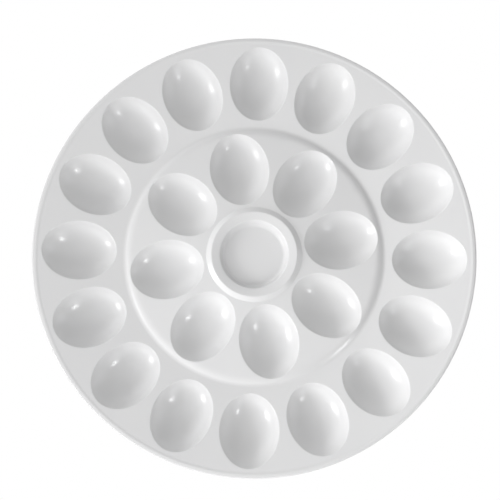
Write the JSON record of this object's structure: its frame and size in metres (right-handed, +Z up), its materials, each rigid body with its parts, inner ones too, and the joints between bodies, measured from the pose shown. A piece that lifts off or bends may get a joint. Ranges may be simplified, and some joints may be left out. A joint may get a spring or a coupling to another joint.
{
  "type": "deviled egg platter",
  "caption": "Round white porcelain platter with two rings of egg-shaped wells, a raised inner tier and a collared dip dish in the centre, on a foot ring.",
  "frame": {"origin": "centre of the foot ring's standing face", "axes": "+Z up through the middle of the dip dish; +X through the middle of an outer egg well"},
  "size_m": [0.33, 0.33, 0.022],
  "materials": {
    "glazed_porcelain": "clear gloss glaze over white porcelain, bare ground face on the foot ring"
  },
  "bodies": {
    "root": {"platter": "glazed_porcelain"}
  },
  "joints": []
}
